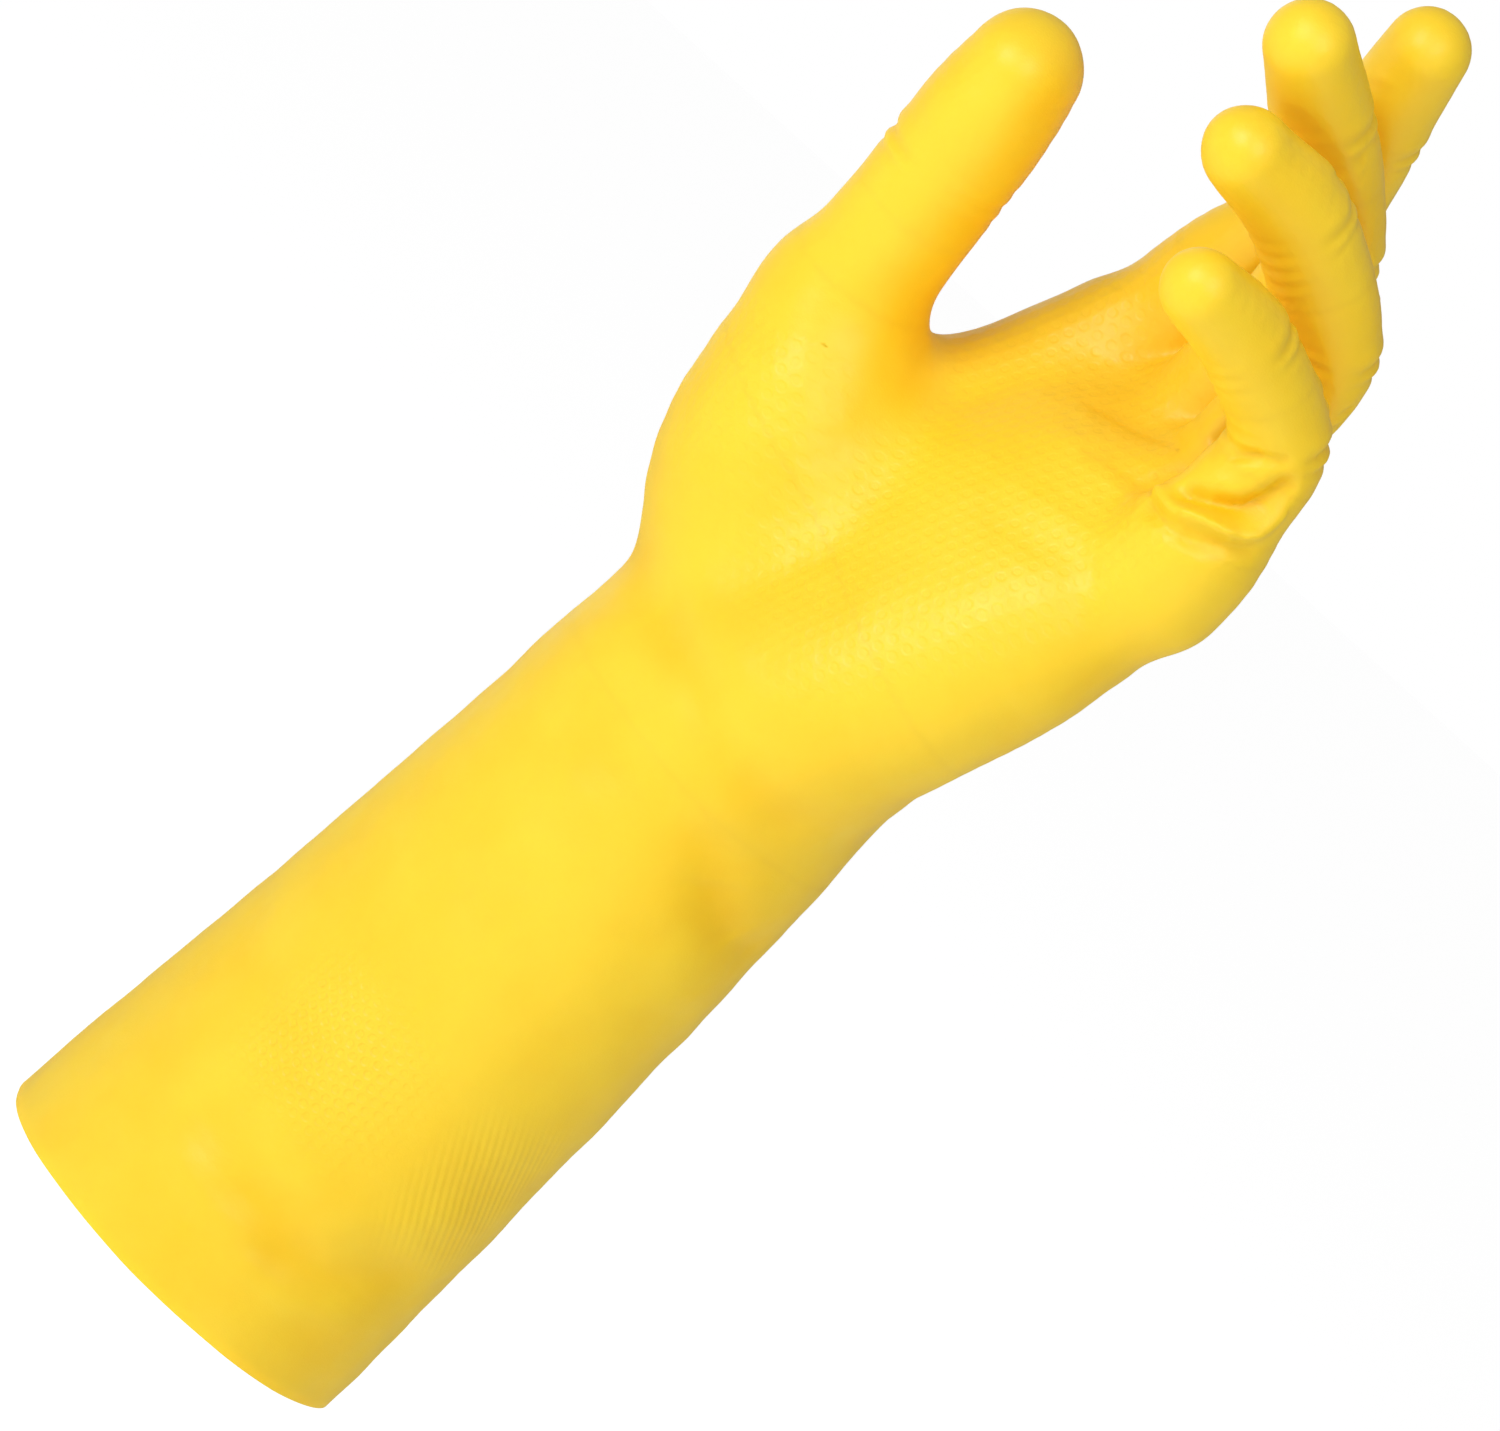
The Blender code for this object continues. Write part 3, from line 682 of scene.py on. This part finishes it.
def without_strays(where, quads):
    """The stretches again, with faces that poke into a neighbouring stretch given to that neighbour."""
    key = np.sort(side_edges(quads), 1)
    face = np.tile(np.arange(len(quads)), 4)
    order = np.lexsort((key[:, 1], key[:, 0]))
    key, face = key[order], face[order]
    same = (key[1:] == key[:-1]).all(1)
    pairs = np.stack([face[:-1][same], face[1:][same]], 1)
    pairs = np.vstack([pairs, pairs[:, ::-1]])
    for _ in range(STRAY_ROUNDS):
        where = where.copy()
        differs = where[pairs[:, 0]] != where[pairs[:, 1]]
        foreign = np.bincount(pairs[differs, 0], minlength=len(quads))
        stray = foreign >= 3
        take = differs & stray[pairs[:, 0]]
        where[pairs[take, 0]] = where[pairs[take, 1]]
    return where


# Each stretch spans one joint between two bodies: its name, the bodies, the joint, the stretches before and
# after it.
BENDS = [("wrist", "cuff", "wrist", "wrist_sideways", (), ("palm",)),
         ("palm", "wrist", "palm", "wrist_bend", ("wrist",), ("knuckles",)),
         ("knuckles", "palm", "knuckles", "knuckle_bend", ("palm", "thumb_base"),
          tuple(f"{finger}_base" for finger in FINGERS)),
         ("thumb_base", "palm", "thumb_base", "thumb_root_bend", ("knuckles",), ("thumb_tip",)),
         ("thumb_tip", "thumb_base", "thumb_tip", "thumb_end_bend", ("thumb_base",), ())]
for finger in FINGERS:
    base, middle, tip = f"{finger}_base", f"{finger}_middle", f"{finger}_tip"
    BENDS += [(base, "knuckles", base, f"{finger}_root_bend", ("knuckles",), (middle,)),
              (middle, base, middle, f"{finger}_middle_bend", (base,), (tip,)),
              (tip, middle, tip, f"{finger}_end_bend", (middle,), ())]
# How far from its joint a stretch's bend may start and end, and how far it stays from a border.
BEND_REACH = {"wrist": 14.0, "palm": 16.0, "knuckles": 12.0}
DEFAULT_REACH = 9.0
BORDER_ROOM = 0.05


def bend_line(name, joint, members, before, after, where, names, points, quads):
    """Two points between which a stretch bends: clear of every border it shares with another stretch."""
    centre, _ = JOINTS[joint]
    aim = bend_aim(name)
    place = (points - centre) @ aim
    reach = BEND_REACH.get(name, DEFAULT_REACH)
    low, high = -reach, reach
    mine = np.zeros(len(points), bool)
    mine[np.unique(quads[members])] = True
    for others, is_before in ((before, True), (after, False)):
        for other in others:
            theirs = np.zeros(len(points), bool)
            theirs[np.unique(quads[where == names.index(other)])] = True
            shared = mine & theirs
            if not shared.any():
                continue
            if is_before:
                low = max(low, place[shared].max() + BORDER_ROOM)
            else:
                high = min(high, place[shared].min() - BORDER_ROOM)
    return centre + aim * low, centre + aim * high


def bend_aim(name):
    """The way along the glove in which a stretch's bend runs."""
    if name in ("wrist", "palm"):
        return np.array([0.0, 0.0, 1.0])
    if name == "knuckles":
        return HAND_Z
    limb, part = name.split("_")
    if limb == "thumb":
        _, knuckle, first, end, tip, _ = thumb_bones()
        before, centre, after = {"base": (knuckle, first, end), "tip": (first, end, tip)}[part]
    else:
        knuckle, first, middle, end, tip, _ = finger_bones(limb)
        before, centre, after = {"base": (knuckle, first, middle), "middle": (first, middle, end),
                                 "tip": (middle, end, tip)}[part]
    return unit(unit(centre - before) + unit(after - centre))


# ---------------------------------------------------------------- building the pieces
# Where the palm's embossing starts, in hand coordinates, and over what distance it fades at a limb's border.
PALM_PRINT_START = (4.0, 22.0)
PRINT_FADE = (0.5, 5.0)
FINGER_GRIP = 0.5
# Patches of the sleeve, unrolled at this radius: middle round and up it, half width and half height.
SLEEVE_RADIUS = 37.0
DOT_PATCH = (-28.5, 56.0, 15.5, 14.5)
RIB_PATCH = (6.0, 54.0, 11.0, 15.0)
# Painted shade: how much deeper the film's colour is painted for each millimetre that a place is pressed in.
PAINTED_FOLD_SHADE = 0.5


def skin_map(points, normals):
    """Flat coordinates on the film for its embossed pattern, and how strongly each place is embossed.

    The palm, each finger and the thumb have coordinates of their own. The pattern fades out where one takes
    over from another, so that it never breaks off.
    """
    in_hand = to_hand(points)
    across, along = in_hand[:, 0].copy(), in_hand[:, 2].copy()
    strength = smooth_step(0.25, 0.75, -(normals @ HAND_Y)) * smooth_step(*PALM_PRINT_START, in_hand[:, 2])
    nearest = np.full(len(points), FAR)
    for finger in (*FINGERS, "thumb"):
        bones = finger_bones(finger) if finger != "thumb" else thumb_bones()
        *chain, side = bones
        chain = chain[1:]
        past = (points - chain[0]) @ unit(chain[1] - chain[0])
        start = 0.0
        for here, there in zip(chain, chain[1:]):
            run = there - here
            length = np.linalg.norm(run)
            share = np.clip((points - here) @ run / length ** 2, 0, 1)
            away = np.linalg.norm(points - here - share[:, None] * run, axis=1)
            in_reach = (away < nearest) & (away < LIMB_REACH)
            behind = in_reach & (past <= 0)
            strength[behind] *= smooth_step(*PRINT_FADE, -past[behind])
            outside = (away < nearest) & (away >= LIMB_REACH) & (past > 0)
            fade = smooth_step(*PRINT_FADE, away[outside] - LIMB_REACH)
            strength[outside] = np.minimum(strength[outside], fade)
            mine = in_reach & (past > 0)
            palmwards = smooth_step(0.15, 0.75, normals[mine] @ np.cross(run / length, side))
            fade = smooth_step(*PRINT_FADE, past[mine]) * smooth_step(*PRINT_FADE, LIMB_REACH - away[mine])
            strength[mine] = FINGER_GRIP * palmwards * fade
            across[mine] = ((points - chain[0]) @ side)[mine]
            along[mine] = (start + share * length)[mine]
            nearest[mine] = away[mine]
            start += length
    return across, along, strength


def patch(u, v, middle_u, middle_v, half_u, half_v):
    """1 inside a patch of the sleeve with soft edges and 0 outside it."""
    return np.exp(-(((u - middle_u) / half_u) ** 4 + ((v - middle_v) / half_v) ** 4))


def film_attributes(points, normals, height):
    """Named values at each point of the film, for its material."""
    across, along, grip = skin_map(points, normals)
    sleeve_u, sleeve_v = np.arctan2(points[:, 1], points[:, 0]) * SLEEVE_RADIUS, points[:, 2]
    dots = patch(sleeve_u, sleeve_v, *DOT_PATCH)
    ribs = patch(sleeve_u, sleeve_v, *RIB_PATCH)
    # Painted shade in creases, folds and dents: the deeper a place is pressed in, the deeper its colour is
    # painted.
    fold = np.clip(-height * PAINTED_FOLD_SHADE, 0, 1)
    return {"film_map": np.stack([across, along, grip], 1),
            "sleeve_map": np.stack([sleeve_u, sleeve_v, dots], 1),
            "painted_fold_shade_and_ribs": np.stack([fold, ribs, np.zeros(len(points))], 1),
            "rest_place": points.copy()}


def make_mesh(name, points, faces, normals, material, attributes):
    """A mesh object from arrays in millimetres."""
    mesh = bpy.data.meshes.new(name)
    mesh.vertices.add(len(points))
    mesh.vertices.foreach_set("co", (points * MM).astype(np.float32).ravel())
    mesh.loops.add(faces.size)
    mesh.loops.foreach_set("vertex_index", faces.astype(np.int32).ravel())
    mesh.polygons.add(len(faces))
    mesh.polygons.foreach_set("loop_start", np.arange(0, faces.size, 4, dtype=np.int32))
    mesh.polygons.foreach_set("use_smooth", np.ones(len(faces), bool))
    mesh.update(calc_edges=True)
    mesh.validate()
    for key, values in attributes.items():
        layer = mesh.attributes.new(key, "FLOAT_VECTOR", "POINT")
        layer.data.foreach_set("vector", values.astype(np.float32).ravel())
    mesh.materials.append(material)
    mesh.normals_split_custom_set_from_vertices(normals.tolist())
    obj = bpy.data.objects.new(name, mesh)
    bpy.context.scene.collection.objects.link(obj)
    return obj


def shell_piece(name, faces, outer, inner, outer_normals, material, attributes):
    """A closed shell over some faces of the skin: outside, inside, and strips along its open edges."""
    used = np.unique(faces)
    renumber = np.full(len(outer), -1)
    renumber[used] = np.arange(len(used))
    top = renumber[faces]
    bottom = top[:, ::-1] + len(used)
    rim = open_edges(top)
    strip = np.stack([rim[:, 1], rim[:, 0], rim[:, 0] + len(used), rim[:, 1] + len(used)], 1)
    points = np.vstack([outer[used], inner[used]])
    normals = np.vstack([outer_normals[used], -outer_normals[used]])
    both = {key: np.vstack([values[used], values[used]]) for key, values in attributes.items()}
    faces = np.vstack([top, bottom, strip])
    return make_mesh(name, points, faces, normals, material, both)


# ---------------------------------------------------------------- materials
BRIGHT_LATEX = (0.990, 0.615, 0.022, 1.0)
# The deeper colour, for random mottle and for the painted shade in folds and creases.
MOTTLE_AND_FOLD_SHADE_LATEX = (0.960, 0.520, 0.003, 1.0)
FLOCK = (0.93, 0.80, 0.38, 1.0)
FLOCK_DEEP = (0.82, 0.64, 0.22, 1.0)
GRIP_PITCH = 2.3
GRIP_DEPTH = 0.065
DOT_PITCH = 2.0
DOT_DEPTH = 0.17
RIB_PITCH = 1.4
RIB_DEPTH = 0.08


class Shader:
    """A material's node tree, with short calls for the nodes used here."""

    def __init__(self, name):
        self.material = bpy.data.materials.new(name)
        self.material.use_nodes = True
        self.tree = self.material.node_tree
        self.shader = self.tree.nodes["Principled BSDF"]

    def add(self, kind, inputs=(), output=0, **settings):
        """A new node. Inputs are numbers, colours or other nodes' outputs, in the order of its sockets."""
        node = self.tree.nodes.new(kind)
        for key, value in settings.items():
            setattr(node, key, value)
        pairs = inputs.items() if isinstance(inputs, dict) else enumerate(inputs)
        for socket, value in pairs:
            self.set(node.inputs[socket], value)
        return node.outputs[output]

    def set(self, socket, value):
        """Links an output to a socket, or sets its value."""
        if isinstance(value, bpy.types.NodeSocket):
            self.tree.links.new(value, socket)
        else:
            socket.default_value = value

    def math(self, operation, *values):
        return self.add("ShaderNodeMath", values, operation=operation)

    def attribute(self, name):
        """The three numbers of a named value on the mesh."""
        vector = self.add("ShaderNodeAttribute", output=1, attribute_name=name)
        split = self.tree.nodes.new("ShaderNodeSeparateXYZ")
        self.set(split.inputs[0], vector)
        return vector, split.outputs

    def noise(self, place, scale, detail=3.0):
        return self.add("ShaderNodeTexNoise", {"Vector": place, "Scale": scale, "Detail": detail})

    def mix(self, share, first, second):
        return self.add("ShaderNodeMix", {0: share, 6: first, 7: second}, output=2, data_type="RGBA")

    def honeycomb(self, u, v, pitch):
        """Three crossed waves that make a net of low walls round hollows: 0 in a hollow, 1 on a wall."""
        turn = 2 * math.pi / pitch
        waves = []
        for angle in (0.0, 2 * math.pi / 3, 4 * math.pi / 3):
            a = self.math("MULTIPLY", u, turn * math.cos(angle))
            b = self.math("MULTIPLY", v, turn * math.sin(angle))
            waves.append(self.math("COSINE", self.math("ADD", a, b)))
        total = self.math("ADD", self.math("ADD", waves[0], waves[1]), waves[2])
        return self.add("ShaderNodeMapRange", (total, 1.6, -0.9, 0.0, 1.0), interpolation_type="SMOOTHSTEP")


def latex():
    """Satin dipped latex: painted shade deepens its colour in its folds; embossed with a grip net, dots and
    ribs, faintly grained.
    """
    s = Shader("latex_film")
    _, (u, v, grip) = s.attribute("film_map")
    _, (sleeve_u, sleeve_v, dots) = s.attribute("sleeve_map")
    _, (fold, ribs, _) = s.attribute("painted_fold_shade_and_ribs")
    place, _ = s.attribute("rest_place")

    cloud = s.noise(place, 0.045, 2.0)
    blotch = s.noise(place, 0.21, 3.0)
    grain = s.noise(place, 2.6, 2.0)
    clouds = s.math("MULTIPLY", s.math("SUBTRACT", cloud, 0.40), 1.3)
    blotches = s.math("MULTIPLY", s.math("SUBTRACT", blotch, 0.5), 0.22)
    # Painted shade in the folds, added to random mottle, sets how deep the colour is.
    fold_shade_and_mottle = s.math("ADD", s.math("ADD", s.math("MULTIPLY", fold, 0.7), clouds), blotches)
    share = s.add("ShaderNodeClamp", (fold_shade_and_mottle, 0.0, 1.0))
    s.set(s.shader.inputs["Base Color"], s.mix(share, BRIGHT_LATEX, MOTTLE_AND_FOLD_SHADE_LATEX))

    rough = s.add("ShaderNodeMapRange", (blotch, 0.3, 0.7, 0.40, 0.50))
    s.set(s.shader.inputs["Roughness"], rough)
    s.shader.inputs["IOR"].default_value = 1.46
    s.shader.inputs["Specular IOR Level"].default_value = 0.50
    s.shader.inputs["Subsurface Weight"].default_value = 0.22
    s.shader.inputs["Subsurface Radius"].default_value = (1.0, 0.55, 0.10)
    s.shader.inputs["Subsurface Scale"].default_value = 0.004

    net = s.math("MULTIPLY", s.honeycomb(u, v, GRIP_PITCH), s.math("MULTIPLY", grip, GRIP_DEPTH))
    dot_depth = s.math("MULTIPLY", dots, DOT_DEPTH)
    dot_net = s.math("MULTIPLY", s.honeycomb(sleeve_u, sleeve_v, DOT_PITCH), dot_depth)
    slant = s.math("ADD", s.math("MULTIPLY", sleeve_u, 0.86), s.math("MULTIPLY", sleeve_v, 0.5))
    rib = s.math("COSINE", s.math("MULTIPLY", slant, 2 * math.pi / RIB_PITCH))
    ribbing = s.math("MULTIPLY", rib, s.math("MULTIPLY", ribs, RIB_DEPTH * 0.5))
    height = s.math("ADD", s.math("ADD", net, dot_net), ribbing)
    height = s.math("ADD", height, s.math("MULTIPLY", grain, 0.03))
    height = s.math("ADD", height, s.math("MULTIPLY", blotch, 0.10))
    bump = s.add("ShaderNodeBump", {"Strength": 0.8, "Distance": MM, "Height": height})
    s.set(s.shader.inputs["Normal"], bump)
    return s.material


def flock():
    """Short cotton flock: matt, mottled and fuzzy."""
    s = Shader("flock_lining")
    place, _ = s.attribute("rest_place")
    tufts = s.noise(place, 1.9, 4.0)
    patches = s.noise(place, 0.16, 2.0)
    share = s.add("ShaderNodeMapRange", (s.math("ADD", tufts, patches), 0.75, 1.25, 0.0, 1.0))
    s.set(s.shader.inputs["Base Color"], s.mix(share, FLOCK_DEEP, FLOCK))
    s.shader.inputs["Roughness"].default_value = 0.95
    s.shader.inputs["Sheen Weight"].default_value = 0.5
    s.shader.inputs["Sheen Roughness"].default_value = 0.6
    height = s.math("MULTIPLY", tufts, 0.35)
    bump = s.add("ShaderNodeBump", {"Strength": 0.9, "Distance": MM, "Height": height})
    s.set(s.shader.inputs["Normal"], bump)
    return s.material


# ---------------------------------------------------------------- the glove
# The CAD nodes that each stretch of film, and of lining, stands for. Linings not in LINED have one node each.
REPLACED = {"wrist": ("cuff_sleeve", "wrist_side_fold"),
            "palm": ("wrist_section", "wrist_crease", "palm_shell"),
            "knuckles": ("knuckle_fold", "knuckle_row"),
            "thumb_base": ("thumb_root_fold", "thumb_base"),
            "thumb_tip": ("thumb_end_fold", "thumb_tip")}
for finger in FINGERS:
    for part, fold in (("base", "root"), ("middle", "middle"), ("tip", "end")):
        REPLACED[f"{finger}_{part}"] = (f"{finger}_{fold}_fold", f"{finger}_{part}")
LINED = {"wrist": ("cuff_sleeve_lining",), "palm": ("wrist_section_lining", "palm_shell_lining"),
         "knuckles": ("knuckle_row_lining",)}


def build_glove():
    """The film and its lining, in pieces that each span one joint."""
    field, values = glove_field()
    points, quads = surface_net(field, values)
    points, quads, rim = cut_at_cuff(points, quads)
    points = smoothed(points, quads, 3, rim)
    points[rim, 2] = 0.0
    where, names = regions(points[quads].mean(1))
    where = without_strays(where, quads)
    for name, _, _, joint, before, after in BENDS:
        members = where == names.index(name)
        bend_line(name, joint, members, before, after, where, names, points, quads)

    smooth_normals = vertex_normals(points, quads)
    rest = points
    points, height = detail(points, smooth_normals)
    points = raise_rim(points)
    normals = vertex_normals(points, quads)
    attributes = film_attributes(rest, smooth_normals, height)
    film_inside = points - smooth_normals * FILM
    lining_outside = points - smooth_normals * (FILM + LINING_GAP)
    lining_inside = points - smooth_normals * (FILM + LINING_GAP + LINING)
    for layer in (lining_outside, lining_inside):
        layer[:, 2] += LINING_SET_BACK * (1.0 - smooth_step(0.0, LINING_SET_BACK_FADE, rest[:, 2]))

    film_look, lining_look = latex(), flock()
    for name, body_a, body_b, joint, _, _ in BENDS:
        faces = quads[where == names.index(name)]
        film = shell_piece(f"film_{name}", faces, points, film_inside, normals, film_look, attributes)
        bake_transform(film)
        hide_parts(*REPLACED[name])
        lining = shell_piece(f"lining_{name}", faces, lining_outside, lining_inside, normals, lining_look,
                             {"rest_place": attributes["rest_place"]})
        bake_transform(lining)
        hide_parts(*LINED.get(name, (f"{name}_lining",)))


# ---------------------------------------------------------------- camera, floor and light
CAMERA_PLACE = (0.66065, -0.49648, 0.30454)
CAMERA_RIGHT = (0.3002, 0.6327, 0.7138)
CAMERA_UP = (-0.5452, -0.5003, 0.6727)
CAMERA_BACK = (0.7827, -0.5911, 0.1948)
SENSOR = 36.0
LENS = 118.8
MIDDLE = (0.0, -0.005, 0.155)
FLOOR_DROP = 0.30
FLOOR_HALF = 4.0
STUDIO = (1.0, 1.0, 1.0, 1.0)
FLOOR_GLOW = 0.74
WORLD_STRENGTH = 0.34
# Soft lights: how far to the right, up and towards the camera from the middle of the glove, size and power.
LIGHTS = (("key", -0.28, 0.62, 0.78, 0.45, 4.8), ("fill", 0.45, 0.20, 1.15, 0.80, 5.6),
          ("back", -0.2, 0.6, -0.9, 0.8, 1.0))


def make_camera():
    """The camera, above the little finger's side of the palm."""
    right, up, back = (unit(v) for v in (CAMERA_RIGHT, CAMERA_UP, CAMERA_BACK))
    matrix = Matrix.Identity(4)
    for row in range(3):
        matrix[row][0], matrix[row][1], matrix[row][2] = right[row], up[row], back[row]
        matrix[row][3] = CAMERA_PLACE[row]
    data = bpy.data.cameras.new("camera")
    data.lens, data.sensor_width, data.clip_start, data.clip_end = LENS, SENSOR, 0.01, 50.0
    camera = bpy.data.objects.new("camera", data)
    camera.matrix_world = matrix
    bpy.context.scene.collection.objects.link(camera)
    bpy.context.scene.camera = camera
    return right, up, back


def make_studio(right, up, back):
    """A plain pale floor, a pale surround and soft lights."""
    world = bpy.data.worlds.new("studio")
    world.use_nodes = True
    tree = world.node_tree
    background = tree.nodes["Background"]
    background.inputs["Color"].default_value = STUDIO
    background.inputs["Strength"].default_value = WORLD_STRENGTH
    seen = tree.nodes.new("ShaderNodeBackground")
    seen.inputs["Color"].default_value = STUDIO
    rays, mixed = tree.nodes.new("ShaderNodeLightPath"), tree.nodes.new("ShaderNodeMixShader")
    tree.links.new(rays.outputs["Is Camera Ray"], mixed.inputs[0])
    tree.links.new(background.outputs[0], mixed.inputs[1])
    tree.links.new(seen.outputs[0], mixed.inputs[2])
    tree.links.new(mixed.outputs[0], tree.nodes["World Output"].inputs[0])
    bpy.context.scene.world = world
    bpy.context.scene.view_settings.view_transform = "Standard"

    low = cad_box[0][2] - FLOOR_DROP
    corners = [(-FLOOR_HALF, -FLOOR_HALF, low), (FLOOR_HALF, -FLOOR_HALF, low), (FLOOR_HALF, FLOOR_HALF, low),
               (-FLOOR_HALF, FLOOR_HALF, low)]
    mesh = bpy.data.meshes.new("floor")
    mesh.from_pydata(corners, [], [(0, 1, 2, 3)])
    floor = bpy.data.objects.new("floor", mesh)
    bpy.context.scene.collection.objects.link(floor)
    s = Shader("floor")
    s.shader.inputs["Base Color"].default_value = (0.70, 0.70, 0.70, 1.0)
    s.shader.inputs["Roughness"].default_value = 0.9
    s.shader.inputs["Emission Color"].default_value = STUDIO
    s.shader.inputs["Emission Strength"].default_value = FLOOR_GLOW
    mesh.materials.append(s.material)
    floor.visible_glossy = False

    for name, aside, above, nearer, size, power in LIGHTS:
        data = bpy.data.lights.new(name, "AREA")
        data.shape, data.size, data.energy = "DISK", size, power
        light = bpy.data.objects.new(name, data)
        place = np.array(MIDDLE) + right * aside + up * above + back * nearer
        light.location = place
        light.rotation_mode = "QUATERNION"
        light.rotation_quaternion = (MathVector(MIDDLE) - MathVector(place)).to_track_quat("-Z", "Y")
        bpy.context.scene.collection.objects.link(light)


build_glove()
make_studio(*make_camera())
bpy.context.view_layer.update()
